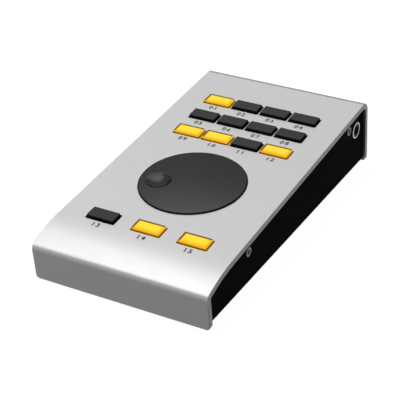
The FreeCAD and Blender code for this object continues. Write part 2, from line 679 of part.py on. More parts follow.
def make_chassis_tray():
    """Folded tray: a level floor and two sides that reach up under the cover."""
    body = new_body("chassis_tray")
    top = "plate_thickness + cover_gap"
    outline = [
        (TRAY_FRONT, f"-{floor_depth(TRAY_FRONT)}"),
        (TRAY_REAR, f"-{floor_depth(TRAY_REAR)}"),
        (TRAY_REAR, f"-({top})"),
        (nose_crease(top), f"-({top})"),
        (TRAY_FRONT, f"-{nose_depth(TRAY_FRONT, top)}"),
    ]
    pad(body, polygon(body, "YZ_Plane", "side", outline), "block", f"2 * {TRAY_OUTER}", symmetric=True)

    def across(number):
        y, z = outline[number]
        return lambda middle, edge: near(middle.x, "0") and near(middle.y, y) and near(middle.z, z)

    round_edges(body, "nose", "nose_blend - plate_thickness - cover_gap", across(3))
    round_edges(body, "rear_corner", "rear_bend + cover_gap", across(2))
    round_edges(body, "front_corner", "front_bend + cover_gap", across(4))
    floor = "tray_wall / cos(wedge_angle)"
    inside = [
        (BEHIND_FRONT_FLAP, f"{floor} - {floor_depth(BEHIND_FRONT_FLAP)}"),
        (BEFORE_REAR_FLAP, f"{floor} - {floor_depth(BEFORE_REAR_FLAP)}"),
        (BEFORE_REAR_FLAP, "0"),
        (BEHIND_FRONT_FLAP, "0"),
    ]
    hollow = polygon(body, "YZ_Plane", "inside", inside)
    pocket(body, hollow, "hollow", f"2 * {TRAY_INNER}", symmetric=True)

    def is_fold(middle, edge):
        low = abs(middle.z + value(floor_depth(str(middle.y)))) < 0.01
        return low and near(abs(middle.x), TRAY_OUTER) and edge.Length > value(FRONT_REACH)

    round_edges(body, "folds", "tray_fold", is_fold)
    holes = [(place, "-screw_drop", "screw_shank + screw_play") for place in TRAY_SCREWS]
    pocket(body, circles(body, "YZ_Plane", "screw_holes", holes), "screw_holes_cut", "2 * cover_width",
           symmetric=True)
    for side, name in zip(SIDES, ("right", "left")):
        for number, place in enumerate(TRAY_SCREWS):
            before = solid_volume(body)
            sink = body.newObject("PartDesign::SubtractiveCone", f"countersink_{name}_{number}")
            bind(sink, Radius1="screw_head + screw_play", Radius2="screw_shank + screw_play",
                 Height=SCREW_HEAD_HEIGHT)
            lay_across(sink, side)
            move(sink, f"{side} * {TRAY_OUTER}", place, "-screw_drop")
            finish_feature(body, sink, before, False)
    jack_round = (JACK_PLACE, "-jack_drop", "jack_nose + jack_nose_play")
    pocket(body, circles(body, "YZ_Plane", "jack_outline", [jack_round]), "jack_hole", "cover_width",
           reverse=True)
    keep(body, "chassis_tray")


def make_feet():
    """Four rubber feet under the tray's floor, upright on the table."""
    front = f"({TRAY_FRONT} / cos(wedge_angle) + dial_height * tan(wedge_angle) + foot_end)"
    rear = f"({TRAY_REAR} / cos(wedge_angle) + dial_height * tan(wedge_angle) - foot_end)"
    feet = []
    for side in SIDES:
        for place in (front, rear):
            foot = doc.addObject("Part::Cone", "foot")
            bind(foot, Radius1="foot_tread", Radius2="foot_radius", Height="foot_height")
            move(foot, f"{side} * ({TRAY_OUTER} - foot_side)", f"{place} - {FOOTPRINT_MIDDLE}", "0")
            feet.append(foot)
    group("feet", feet, tipped=False)


def make_side_screws():
    """Countersunk screws with a cross recess, through the tray's sides into the rails."""
    screws = []
    for side in SIDES:
        for number, place in enumerate(TRAY_SCREWS):
            name = f"side_screw_{len(screws)}"
            head = doc.addObject("Part::Cone", f"{name}_head")
            bind(head, Radius1="screw_head", Radius2="screw_shank", Height=SCREW_HEAD_HEIGHT)
            shank = cylinder(f"{name}_shank", "0", "0", "0", "screw_shank", "screw_length")
            solid = fuse(f"{name}_solid", head, shank)
            arms = [
                box(f"{name}_arm_a", "0", "0", "0", "cross_span", "cross_width", "cross_depth"),
                box(f"{name}_arm_b", "0", "0", "0", "cross_width", "cross_span", "cross_depth"),
            ]
            screw = cut(name, solid, *arms)
            lay_across(screw, side)
            move(screw, f"{side} * {TRAY_OUTER}", place, "-screw_drop")
            screws.append(screw)
    group("side_screws", screws)


# ---- keys ----------------------------------------------------------------------------------------

def make_key_cap(number, x, y):
    """Hollow cap with sloped sides, catches under the plate, and a boss for its stem."""
    body = new_body(f"key_cap_{number}")
    plan = rectangle(body, "XY_Plane", "plan", x, y, KEY_LENGTH, "key_depth")
    block = body.newObject("PartDesign::Pad", "block")
    block.Profile = plan
    block.SideType = "Two sides"
    bind(block, Length="key_rise", Length2="key_skirt", TaperAngle="-key_draft")
    finish_feature(body, block, 0.0, True)
    round_edges(body, "corners", "key_corner", lambda m, e: abs(e.tangentAt(e.FirstParameter).z) > 0.5)
    round_edges(body, "top_edge", "key_edge", lambda m, e: near(m.z, "key_rise"))
    lip_low = "(-plate_thickness - lip_gap - lip_height)"
    lips = rectangle(body, "XY_Plane", "lips", x, y, "lip_length", CATCH_DEPTH, lip_low)
    pad(body, lips, "catches", "lip_height")
    inside = rectangle(body, "XY_Plane", "inside", x, y, f"{KEY_LENGTH} - 2 * key_wall",
                       "key_depth - 2 * key_wall", "-key_skirt")
    pocket(body, inside, "hollow", "key_skirt + key_rise - key_roof", reverse=True)
    boss = circles(body, "XY_Plane", "boss_outline", [(x, y, "boss_radius")], "key_rise - key_roof")
    pad(body, boss, "boss", "key_rise - key_roof + boss_end", reverse=True)
    socket = circles(body, "XY_Plane", "socket_outline", [(x, y, "stem_radius + socket_play")], BOSS_LOW)
    pocket(body, socket, "socket", "socket_depth", reverse=True)
    keep(body, f"key_cap_{number}")


def make_key_stem(number, x, y):
    """Round stem from the cap's boss down into the switch."""
    stem = cylinder(f"stem_{number}", x, y, f"{SWITCH_TOP} - stem_depth", "stem_radius",
                    f"{STEM_TOP} - {SWITCH_TOP} + stem_depth")
    group(f"key_stem_{number}", [stem])


def make_key_switches():
    """Square switch bodies on the board, each with a hole for its stem, and two lamps beside it."""
    switches, lamps = [], []
    for number, x, y in key_places():
        block = box(f"switch_{number}_block", x, y, BOARD_TOP, "switch_side", "switch_side", "switch_height")
        depth = "(stem_depth + key_travel + well_spare)"
        hole = cylinder(f"switch_{number}_hole", x, y, f"{SWITCH_TOP} - {depth}", "stem_radius + stem_play",
                        f"{depth} + switch_height")
        switches.append(cut(f"switch_{number}", block, hole))
        for side in SIDES:
            lamps.append(box(f"lamp_{number}_{len(lamps)}", f"{x} + {side} * led_place", y, BOARD_TOP,
                             "led_length", "led_depth", "led_height"))
    group("key_switches", switches)
    group("key_leds", lamps)


def make_light_frame(name, rows):
    """Block with a window for each key, which keeps each key's light to itself."""
    middle = f"(({rows[0][0]}) + ({rows[-1][0]})) / 2"
    span = f"(({rows[0][0]}) - ({rows[-1][0]}))"
    count, pitch = rows[0][1], rows[0][2]
    height = f"({PILLAR_LENGTH} - frame_gap)"
    block = box(f"{name}_block", "0", middle, BOARD_TOP,
                f"{count - 1} * {pitch} + {WINDOW_LENGTH} + 2 * frame_wall",
                f"{span} + {WINDOW_DEPTH} + 2 * frame_wall", height)
    windows = []
    for row, columns, _ in rows:
        for column in range(columns):
            place = f"{2 * column + 1 - columns} * {pitch} / 2"
            windows.append(box(f"{name}_window_{len(windows)}", place, row, f"{BOARD_TOP} - frame_wall",
                               WINDOW_LENGTH, WINDOW_DEPTH, f"{height} + 2 * frame_wall"))
    keep(cut(f"{name}_open", block, *windows), name)


# ---- dial, well and encoder ------------------------------------------------------------------------

def make_dial():
    """Low disc with a bevelled rim, a drum that turns in the well, a hub and a finger dish."""
    body = new_body("dial")
    web = f"({DIAL_TOP} - dial_web)"
    drum_low = f"({WELL_FLOOR} + drum_floor_gap)"
    hub_low = f"({BUSHING_TOP} + hub_gap)"
    bore = "(shaft_radius + shaft_fit)"
    outline = [
        ("0", DIAL_TOP),
        ("dial_radius - dial_bevel", DIAL_TOP),
        ("dial_radius", f"{DIAL_TOP} - dial_bevel"),
        ("dial_radius", "dial_gap"),
        (DRUM_RADIUS, "dial_gap"),
        (DRUM_RADIUS, drum_low),
        (f"{DRUM_RADIUS} - dial_wall", drum_low),
        (f"{DRUM_RADIUS} - dial_wall", web),
        ("hub_radius", web),
        ("hub_radius", hub_low),
        (bore, hub_low),
        (bore, SHAFT_TOP),
        ("0", SHAFT_TOP),
    ]
    revolve(body, polygon(body, "XZ_Plane", "outline", outline), "turned")
    flat_width = f"(2 * {bore})"
    flat = [
        (f"-{flat_width} / 2", "shaft_flat + shaft_fit"),
        (f"{flat_width} / 2", "shaft_flat + shaft_fit"),
        (f"{flat_width} / 2", "(shaft_radius + hub_radius) / 2"),
        (f"-{flat_width} / 2", "(shaft_radius + hub_radius) / 2"),
    ]
    pad(body, polygon(body, "XY_Plane", "flat_outline", flat, SHAFT_TOP), "bore_flat",
        f"{FLAT_LENGTH} - flat_spare", reverse=True)
    before = solid_volume(body)
    ball_radius = "((dimple_radius * dimple_radius + dimple_depth * dimple_depth) / (2 * dimple_depth))"
    dish = body.newObject("PartDesign::SubtractiveSphere", "finger_dish")
    bind(dish, Radius=ball_radius)
    move(dish, f"{DISH_PLACE} * cos(dimple_bearing)", f"{DISH_PLACE} * sin(dimple_bearing)",
         f"{DIAL_TOP} + {ball_radius} - dimple_depth")
    finish_feature(body, dish, before, False)

    def is_dish_rim(middle, edge):
        return near(middle.z, DIAL_TOP) and middle.Length > value("dimple_radius")

    round_edges(body, "dish_rim", "dimple_round", is_dish_rim)
    keep(body, "dial")


def make_dial_well():
    """Pressed cup under the plate's round hole: it closes the hole and holds the encoder."""
    body = new_body("dial_well")
    outline = [
        ("bushing_radius + screw_play", WELL_UNDER),
        (WELL_OUTER, WELL_UNDER),
        (WELL_OUTER, FLANGE_UNDER),
        (FLANGE_RADIUS, FLANGE_UNDER),
        (FLANGE_RADIUS, UNDERSIDE),
        (WELL_RADIUS, UNDERSIDE),
        (WELL_RADIUS, WELL_FLOOR),
        ("bushing_radius + screw_play", WELL_FLOOR),
    ]
    revolve(body, polygon(body, "XZ_Plane", "outline", outline), "pressed")
    rounds = well_screw_rounds("board_screw + screw_play")
    pocket(body, circles(body, "XY_Plane", "hole_outline", rounds, UNDERSIDE), "screw_holes",
           "2 * well_wall")
    keep(body, "dial_well")


def small_screw(name, x, y, seat, bite):
    """Pan-head screw that points up, its head under a seat."""
    head = cylinder(f"{name}_head", x, y, f"{seat} - board_head_height", "board_screw_head",
                    "board_head_height")
    shank = cylinder(f"{name}_shank", x, y, f"{seat} - board_head_height / 2", "board_screw",
                     f"board_head_height / 2 + {bite}")
    slot = box(f"{name}_slot", x, y, f"{seat} - board_head_height", "2 * board_screw_head", "cross_width",
               "board_head_height / 2")
    return cut(name, fuse(f"{name}_solid", head, shank), slot)


def make_well_screws():
    """Ring of small screws that holds the well's flange to the plate."""
    screws = []
    for x, y, _ in well_screw_rounds("board_screw"):
        screws.append(small_screw(f"well_screw_{len(screws)}", x, y, FLANGE_UNDER,
                                  "(well_wall + well_screw_bite)"))
    group("well_screws", screws)


def make_encoder():
    """Rotary encoder: plastic body on the board, metal flange and bushing, shaft, washer and nut."""
    low = "(encoder_height - encoder_flange)"
    block = box("encoder_block", "0", "0", BOARD_TOP, "encoder_side", "encoder_side", low)
    hole = cylinder("encoder_hole", "0", "0", f"{BOARD_TOP} + shaft_foot - shaft_drop",
                    "shaft_radius + shaft_room", "encoder_height")
    keep(cut("encoder_hollow", block, hole), "encoder_body")
    flange = box("bushing_flange", "0", "0", f"{BOARD_TOP} + {low}", "encoder_side", "encoder_side",
                 "encoder_flange")
    thread = cylinder("bushing_thread", "0", "0", f"{WELL_UNDER} - encoder_flange / 2", "bushing_radius",
                      "bushing_length + encoder_flange / 2")
    bore = cylinder("bushing_bore", "0", "0", BOARD_TOP, "shaft_radius + shaft_play",
                    "encoder_height + 2 * bushing_length")
    keep(cut("bushing_open", fuse("bushing_solid", flange, thread), bore), "encoder_bushing")
    rod = cylinder("shaft_rod", "0", "0", f"{BOARD_TOP} + shaft_foot", "shaft_radius",
                   f"{SHAFT_TOP} - {BOARD_TOP} - shaft_foot")
    flat = box("shaft_flat_cut", "0", "shaft_flat + shaft_radius / 2", f"{SHAFT_TOP} - {FLAT_LENGTH}",
               "2 * shaft_radius", "shaft_radius", f"2 * {FLAT_LENGTH}")
    keep(cut("shaft_cut", rod, flat), "encoder_shaft")
    washer = cylinder("washer_disc", "0", "0", WELL_FLOOR, "washer_radius", "washer_thickness")
    nut = prism("nut_hexagon", "0", "0", f"{WELL_FLOOR} + washer_thickness", "nut_corner", "nut_height")
    for name, solid in (("encoder_washer", washer), ("encoder_nut", nut)):
        clear = cylinder(f"{name}_hole", "0", "0", WELL_FLOOR, "bushing_radius + thread_play",
                         "washer_thickness + 2 * nut_height")
        keep(cut(f"{name}_open", solid, clear), name)


# ---- board, pillars and parts on the board ---------------------------------------------------------

def make_main_board():
    """Circuit board with a notch for the jack and holes for its screws."""
    body = new_body("main_board")
    outline = [
        (f"-{BOARD_SIDE}", BOARD_FRONT),
        (BOARD_SIDE, BOARD_FRONT),
        (BOARD_SIDE, NOTCH_FRONT),
        (NOTCH_LEFT, NOTCH_FRONT),
        (NOTCH_LEFT, BOARD_REAR),
        (f"-{BOARD_SIDE}", BOARD_REAR),
    ]
    pad(body, polygon(body, "XY_Plane", "outline", outline, BOARD_UNDER), "sheet", "board_thickness")
    holes = [(x, y, "board_screw + screw_play") for x, y in PILLARS]
    pocket(body, circles(body, "XY_Plane", "hole_outline", holes, BOARD_TOP), "screw_holes",
           "2 * board_thickness")
    keep(body, "main_board")


def make_board_pillars():
    """Hexagon pillars fixed under the plate, and the screws that hold the board to them."""
    pillars, screws = [], []
    for number, (x, y) in enumerate(PILLARS):
        post = prism(f"pillar_{number}_post", x, y, BOARD_TOP, "pillar_corner", PILLAR_LENGTH)
        post.Placement.Rotation = FreeCAD.Rotation(FreeCAD.Vector(0, 0, 1), 30)
        thread = cylinder(f"pillar_{number}_thread", x, y, BOARD_UNDER, "board_screw + thread_play",
                          "board_thickness + board_screw_bite + thread_spare")
        pillars.append(cut(f"pillar_{number}", post, thread))
        screws.append(small_screw(f"board_screw_{number}", x, y, BOARD_UNDER,
                                  "(board_thickness + board_screw_bite)"))
    group("board_pillars", pillars)
    group("board_screws", screws)


def make_board_parts():
    """Controller chip, interface chip and a row of capacitors."""
    controller = box("controller", "chip_place", "-chip_place / 2", BOARD_TOP, "chip_side", "chip_side",
                     "chip_height")
    group("controller_chip", [controller])
    interface = box("interface", "-usb_place", f"{PARTS_LINE} - small_chip_side / 2", BOARD_TOP,
                    "small_chip_side", "small_chip_side", "chip_height")
    group("interface_chip", [interface])
    cans = []
    for number in range(CAPACITORS):
        place = f"{2 * number + 1 - CAPACITORS} * capacitor_pitch / 2"
        cans.append(cylinder(f"can_{number}", place, PARTS_LINE, BOARD_TOP, "capacitor_radius",
                             "capacitor_height"))
    group("capacitors", cans)


# ---- sockets ---------------------------------------------------------------------------------------

def make_usb_socket():
    """Square socket for the computer's lead, on the board behind the rear flap's cut-out."""
    shell = box("usb_block", "-usb_place", f"{USB_REAR} - usb_depth / 2", BOARD_TOP, "usb_width", "usb_depth",
                "usb_height")
    mouth = box("usb_mouth", "-usb_place", USB_REAR, f"{USB_MIDDLE} - usb_mouth_height / 2",
                "usb_mouth_width", "2 * usb_mouth_depth", "usb_mouth_height")
    keep(cut("usb_open", shell, mouth), "usb_shell")
    tongue = box("usb_tongue_block", "-usb_place", f"{USB_REAR} - usb_mouth_depth + tongue_length / 2",
                 f"{USB_MIDDLE} - tongue_height / 2", "tongue_width", "tongue_length", "tongue_height")
    group("usb_tongue", [tongue])


def make_jack():
    """Round jack in the right side: body, nut ring outside the tray, and solder tabs to the board."""
    block = box("jack_block", f"{TRAY_INNER} - jack_length / 2", JACK_PLACE, "-jack_drop - jack_height / 2",
                "jack_length", "jack_width", "jack_height")
    nose = cylinder("jack_nose_rod", RING_FACE, JACK_PLACE, "-jack_drop", "jack_nose",
                    f"{RING_FACE} - {TRAY_INNER} + jack_back")
    bore = cylinder("jack_bore_rod", f"{RING_FACE} + ring_thickness", JACK_PLACE, "-jack_drop", "jack_bore",
                    f"{RING_FACE} + ring_thickness - {JACK_LEFT} - jack_back")
    for rod in (nose, bore):
        lay_across(rod, "1")
    keep(cut("jack_open", fuse("jack_solid", block, nose), bore), "jack_body")
    body = new_body("jack_ring")
    ring = circles(body, "YZ_Plane", "outline", [(JACK_PLACE, "-jack_drop", "ring_radius")], TRAY_OUTER)
    pad(body, ring, "disc", "ring_thickness")
    hole = circles(body, "YZ_Plane", "hole", [(JACK_PLACE, "-jack_drop", "jack_nose + thread_play")],
                   RING_FACE)
    pocket(body, hole, "thread", "2 * ring_thickness")
    round_edges(body, "outer_edge", "ring_round",
                lambda m, e: near(m.x, RING_FACE) and e.Length > value("6 * jack_nose + 2 * thread_play"))
    keep(body, "jack_ring")
    tabs = []
    for number in range(JACK_TABS):
        x = f"{JACK_LEFT} + tab_first + {number} * tab_pitch"
        tabs.append(box(f"tab_{number}", x, f"{JACK_FRONT} - tab_length / 2", BOARD_TOP, "tab_width",
                        "tab_length", "tab_height"))
    group("jack_tabs", tabs)


# ---- build and write -------------------------------------------------------------------------------

def check_document():
    """Stop if any object failed, or any node's shape is empty or not valid."""
    doc.recompute()
    for item in doc.Objects:
        if "Invalid" in item.State or "Error" in item.State:
            raise RuntimeError(f"{item.Name} failed: {item.State}")
    for node in nodes:
        if node.Shape.isNull() or not node.Shape.isValid() or not node.Shape.Solids:
            raise RuntimeError(f"{node.Label} has no valid solid")


make_cover_plate()
make_cover_rails()
make_chassis_tray()
make_feet()
make_side_screws()
for key_number, key_x, key_y in key_places():
    make_key_cap(key_number, key_x, key_y)
    make_key_stem(key_number, key_x, key_y)
make_key_switches()
make_light_frame("rear_light_frame", KEY_ROWS[:3])
make_light_frame("front_light_frame", KEY_ROWS[3:])
make_dial()
make_dial_well()
make_well_screws()
make_encoder()
make_main_board()
make_board_pillars()
make_board_parts()
make_usb_socket()
make_jack()
check_document()
os.makedirs("parts", exist_ok=True)
for node in nodes:
    node.Shape.exportStep(f"parts/{node.Label}.step")
    print(node.Label, len(node.Shape.Solids), round(node.Shape.Volume, 1))
print(len(nodes), "nodes")
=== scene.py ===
"""The looks of a desktop monitor controller: a blasted aluminium cover with smoked push keys, six of them
lit from below, and a low charcoal dial, over a black tray. Metres throughout, in the row frame.

Most pieces keep their machined shape and get a finish. New surfaces stand in for what is moulded, turned
or printed: the rubber feet, the numbers under the keys and the contacts in the computer socket.
"""
import json
import math

import bpy
import numpy as np
from mathutils import Matrix, Vector


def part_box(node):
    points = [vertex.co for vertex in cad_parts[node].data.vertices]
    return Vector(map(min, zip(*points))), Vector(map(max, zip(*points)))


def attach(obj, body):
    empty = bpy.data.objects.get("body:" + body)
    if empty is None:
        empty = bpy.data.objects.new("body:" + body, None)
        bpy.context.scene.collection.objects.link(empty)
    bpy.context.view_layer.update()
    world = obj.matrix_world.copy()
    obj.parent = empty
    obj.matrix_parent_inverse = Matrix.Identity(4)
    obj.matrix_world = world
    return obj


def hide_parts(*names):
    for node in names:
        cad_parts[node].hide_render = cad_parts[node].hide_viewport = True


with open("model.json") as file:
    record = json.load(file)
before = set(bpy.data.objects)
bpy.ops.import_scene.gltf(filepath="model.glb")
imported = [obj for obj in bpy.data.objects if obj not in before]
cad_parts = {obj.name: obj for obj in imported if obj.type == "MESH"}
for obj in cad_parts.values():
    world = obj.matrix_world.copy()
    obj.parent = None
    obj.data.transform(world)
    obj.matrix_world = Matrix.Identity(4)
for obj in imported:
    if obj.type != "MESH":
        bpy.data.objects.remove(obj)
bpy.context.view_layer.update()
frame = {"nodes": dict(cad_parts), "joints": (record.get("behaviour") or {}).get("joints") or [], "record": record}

MM = 0.001

# The plate's own frame: across to the right, along to the rear, out of the plate, from the dial's axis.
dial_joint = next(joint for joint in frame["joints"] if joint["name"] == "dial_turn")
PLATE_MIDDLE = np.array(dial_joint["pos_m"])
OUT = np.array(dial_joint["axis"])
ACROSS = np.array([1.0, 0.0, 0.0])
ALONG = np.cross(OUT, ACROSS)
PLATE_AXES = np.array([ACROSS, ALONG, OUT])

# The dial's rim is painted near black over its bevel, as painted shade, and its face bulges by the crown.
DIAL_BEVEL = 0.4 * MM
DIAL_CROWN = 1.0 * MM

KEYS = [f"{number:02d}" for number in range(1, 16)]
HOUSING = "housing"


def to_row(places):
    """Points given as (across, along, out) of the plate, moved to the row frame."""
    return PLATE_MIDDLE + np.asarray(places, float) @ PLATE_AXES


def to_plate(places):
    """Points of the row frame, as (across, along, out) of the plate."""
    return (np.asarray(places, float) - PLATE_MIDDLE) @ PLATE_AXES.T


def node_points(node):
    """The corners of a CAD node's mesh, in the plate's frame."""
    mesh = frame["nodes"][node].data
    flat = np.empty(3 * len(mesh.vertices))
    mesh.vertices.foreach_get("co", flat)
    return to_plate(flat.reshape(-1, 3))


def node_span(node):
    """Lowest and highest corner of a CAD node, in the plate's frame."""
    points = node_points(node)
    return points.min(0), points.max(0)


KEY_RISE = node_span("key_cap_01")[1][2]


def key_top(key):
    """Middle and half size, across and along, of the flat top of a cap."""
    points = node_points(f"key_cap_{key}")
    face = points[points[:, 2] > KEY_RISE - 0.01 * MM][:, :2]
    return (face.min(0) + face.max(0)) / 2, (face.max(0) - face.min(0)) / 2


# ---- finishes --------------------------------------------------------------------------------------

class Finish:
    """A material in the making: its shader, and short ways to add the nodes that shape it."""

    def __init__(self, name, colour, roughness, metallic=0.0, specular=0.5):
        self.material = bpy.data.materials.new(name)
        self.material.use_nodes = True
        self.tree = self.material.node_tree
        self.shader = self.tree.nodes["Principled BSDF"]
        self.shader.inputs["Base Color"].default_value = (*colour, 1.0)
        self.shader.inputs["Roughness"].default_value = roughness
        self.shader.inputs["Metallic"].default_value = metallic
        self.shader.inputs["Specular IOR Level"].default_value = specular
        self.colour = colour
        self.roughness = roughness
        self.coordinates = self.add("ShaderNodeTexCoord")
        self.place = self.coordinates.outputs["Object"]

    def add(self, kind, **settings):
        """A new node with its settings."""
        node = self.tree.nodes.new(kind)
        for name, setting in settings.items():
            setattr(node, name, setting)
        return node

    def join(self, source, target):
        """Link an output to an input, or set the input to a plain number or colour."""
        if isinstance(source, bpy.types.NodeSocket):
            self.tree.links.new(source, target)
        else:
            target.default_value = source

    def reckon(self, operation, first, second=0.0, third=0.0):
        """The result of a sum of up to three values."""
        node = self.add("ShaderNodeMath", operation=operation)
        for value, slot in zip((first, second, third), node.inputs):
            self.join(value, slot)
        return node.outputs["Value"]

    def along(self, direction, start):
        """Distance of the surface from a start point, along a direction of the row frame."""
        node = self.add("ShaderNodeVectorMath", operation="DOT_PRODUCT")
        self.join(self.place, node.inputs[0])
        node.inputs[1].default_value = tuple(direction)
        return self.reckon("SUBTRACT", node.outputs["Value"], float(np.dot(direction, start)))

    def facing(self, direction):
        """How much the surface faces a direction of the row frame."""
        node = self.add("ShaderNodeVectorMath", operation="DOT_PRODUCT")
        self.join(self.coordinates.outputs["Normal"], node.inputs[0])
        node.inputs[1].default_value = tuple(direction)
        return node.outputs["Value"]

    def from_axis(self, start, direction):
        """Distance of the surface from a line of the row frame."""
        offset = self.add("ShaderNodeVectorMath", operation="SUBTRACT")
        self.join(self.place, offset.inputs[0])
        offset.inputs[1].default_value = tuple(start)
        square = self.add("ShaderNodeVectorMath", operation="CROSS_PRODUCT")
        self.join(offset.outputs["Vector"], square.inputs[0])
        square.inputs[1].default_value = tuple(direction)
        length = self.add("ShaderNodeVectorMath", operation="LENGTH")
        self.join(square.outputs["Vector"], length.inputs[0])
        return length.outputs["Value"]

    def ramp(self, value, low, high, low_out=0.0, high_out=1.0):
        """A smooth step from one value to another, while the input goes from low to high."""
        node = self.add("ShaderNodeMapRange", interpolation_type="SMOOTHSTEP")
        for number, slot in zip((low, high, low_out, high_out), (1, 2, 3, 4)):
            node.inputs[slot].default_value = number
        self.join(value, node.inputs["Value"])
        return node.outputs["Result"]

    def rounded_inset(self, right, rear, half_length, half_depth, corner):
        """How far a place lies inside a rectangle with round corners, from its offset from the middle."""
        beyond = [self.reckon("ADD", self.reckon("ABSOLUTE", offset), corner - half)
                  for offset, half in ((right, half_length), (rear, half_depth))]
        outside = [self.reckon("MAXIMUM", distance, 0.0) for distance in beyond]
        square = self.reckon("MULTIPLY_ADD", outside[0], outside[0],
                             self.reckon("MULTIPLY", outside[1], outside[1]))
        inside = self.reckon("MINIMUM", self.reckon("MAXIMUM", *beyond), 0.0)
        return self.reckon("SUBTRACT", self.reckon("SUBTRACT", corner, self.reckon("SQRT", square)), inside)

    def grain(self, size, detail=2.0, stretch=(1.0, 1.0, 1.0)):
        """Noise whose spots are about so many metres across, from 0 to 1."""
        spread = self.add("ShaderNodeMapping")
        spread.inputs["Scale"].default_value = stretch
        self.join(self.place, spread.inputs["Vector"])
        node = self.add("ShaderNodeTexNoise")
        self.join(spread.outputs["Vector"], node.inputs["Vector"])
        node.inputs["Scale"].default_value = 1.0 / size
        node.inputs["Detail"].default_value = detail
        return node.outputs["Fac"]

    def blend(self, factor, first, second):
        """A colour between two others."""
        node = self.add("ShaderNodeMix", data_type="RGBA")
        self.join(factor, node.inputs[0])
        for colour, slot in ((first, node.inputs[6]), (second, node.inputs[7])):
            self.join(colour if isinstance(colour, bpy.types.NodeSocket) else (*colour, 1.0), slot)
        return node.outputs[2]

    def cloud(self, size, spread, detail=3.0):
        """The finish's colour, wandering a little, as on any real surface."""
        low = tuple(part * (1 - spread) for part in self.colour)
        high = tuple(min(1.0, part * (1 + spread)) for part in self.colour)
        return self.blend(self.grain(size, detail), low, high)

    def mottle(self, size, spread):
        """Let the base colour wander."""
        self.join(self.cloud(size, spread), self.shader.inputs["Base Color"])
        return self

    def wandering_roughness(self, size, spread):
        """The finish's roughness, wandering about its middle value."""
        return self.ramp(self.grain(size, 4.0), 0.3, 0.7, self.roughness - spread, self.roughness + spread)

    def dapple(self, size, spread):
        """Let the roughness wander."""
        self.join(self.wandering_roughness(size, spread), self.shader.inputs["Roughness"])
        return self

    def relief(self, height, depth, strength=1.0):
        """Raise and sink the surface by a height from 0 to 1, over a real depth."""
        node = self.add("ShaderNodeBump")
        node.inputs["Distance"].default_value = depth
        node.inputs["Strength"].default_value = strength
        self.join(height, node.inputs["Height"])
        self.join(node.outputs["Normal"], self.shader.inputs["Normal"])
        return self

    def glow(self, colour, strength):
        """Let the surface give off light of a colour."""
        self.join(colour, self.shader.inputs["Emission Color"])
        self.shader.inputs["Emission Strength"].default_value = strength
        return self


def blasted_aluminium():
    """Fine blasted, clear anodised sheet: satin, with 0.15 mm grain, and painted shade darkening the rear bend."""
    finish = Finish("blasted_aluminium", (0.5, 0.5, 0.5), 0.34, specular=0.3)
    # Painted shade: round the rear bend the sheet is made darker and less metallic.
    painted_bend_shade = (0.05, 0.05, 0.05)
    to_rear = finish.facing(ALONG)
    off_top = finish.ramp(to_rear, 0.02, 0.3)
    off_flap = finish.ramp(to_rear, 0.85, 0.97, 1.0, 0.0)
    bend = finish.reckon("MULTIPLY", off_top, off_flap)
    sheet = finish.cloud(0.03, 0.012)
    finish.join(finish.blend(bend, sheet, painted_bend_shade), finish.shader.inputs["Base Color"])
    finish.join(finish.ramp(bend, 0.0, 1.0, 0.15, 0.02), finish.shader.inputs["Metallic"])
    finish.dapple(0.012, 0.02)
    return finish.relief(finish.grain(0.15 * MM, 3.0), 0.004 * MM, 0.5).material


def bare_aluminium():
    """Extruded bar, drawn along its length."""
    finish = Finish("bare_aluminium", (0.55, 0.55, 0.56), 0.35, metallic=0.8)
    finish.mottle(0.008, 0.05)
    return finish.relief(finish.grain(0.3 * MM, 3.0, (1, 0.03, 1)), 0.01 * MM).material


def tray_paint():
    """Fine-textured matte black paint."""
    finish = Finish("tray_paint", (0.024, 0.024, 0.0242), 0.7, specular=0.005)
    finish.mottle(0.02, 0.08).dapple(0.004, 0.05)
    return finish.relief(finish.grain(0.35 * MM, 4.0), 0.02 * MM, 0.6).material


def dial_metal():
    """Dark satin disc, a little crowned, with painted shade: a near black rim, and darker, matt walls in the
    finger dish.

    The rim is told by its distance from the dial's axis, and the walls by the way that they lean.
    """
    finish = Finish("dial_metal", (0.005, 0.005, 0.0052), 0.3, specular=0.08)
    # Painted shade: near black, with roughness raised, on the rim's bevel and on the finger dish's leaning walls.
    painted_shade_black = (0.001, 0.001, 0.001)
    grain_depth = 0.0003 * MM
    edge_radius = node_span("dial")[1][0]
    face_radius = edge_radius - DIAL_BEVEL
    radius = finish.from_axis(PLATE_MIDDLE, OUT)
    rim = finish.ramp(radius, face_radius - 0.5 * MM, face_radius)
    steep = finish.ramp(finish.facing(OUT), 0.945, 0.98, 1.0, 0.0)
    near_wall = finish.ramp(finish.facing(0.7 * ALONG - 0.71 * ACROSS), 0.0, 0.12)
    far_wall = finish.ramp(finish.facing(-0.8 * ALONG - 0.6 * ACROSS), 0.1, 0.3, 0.0, 0.6)
    walls = finish.reckon("MULTIPLY", steep, finish.reckon("MAXIMUM", near_wall, far_wall))
    dark = finish.reckon("MAXIMUM", rim, walls)
    finish.join(finish.blend(dark, finish.cloud(0.02, 0.08), painted_shade_black), finish.shader.inputs["Base Color"])
    satin = finish.wandering_roughness(0.02, 0.01)
    finish.join(finish.reckon("MAXIMUM", satin, dark), finish.shader.inputs["Roughness"])
    square = finish.reckon("MULTIPLY", radius, radius)
    dome = finish.reckon("MULTIPLY", square, -DIAL_CROWN / edge_radius ** 2)
    grain = finish.reckon("MULTIPLY", finish.grain(0.12 * MM, 3.0), grain_depth)
    return finish.relief(finish.reckon("ADD", dome, grain), 1.0).material


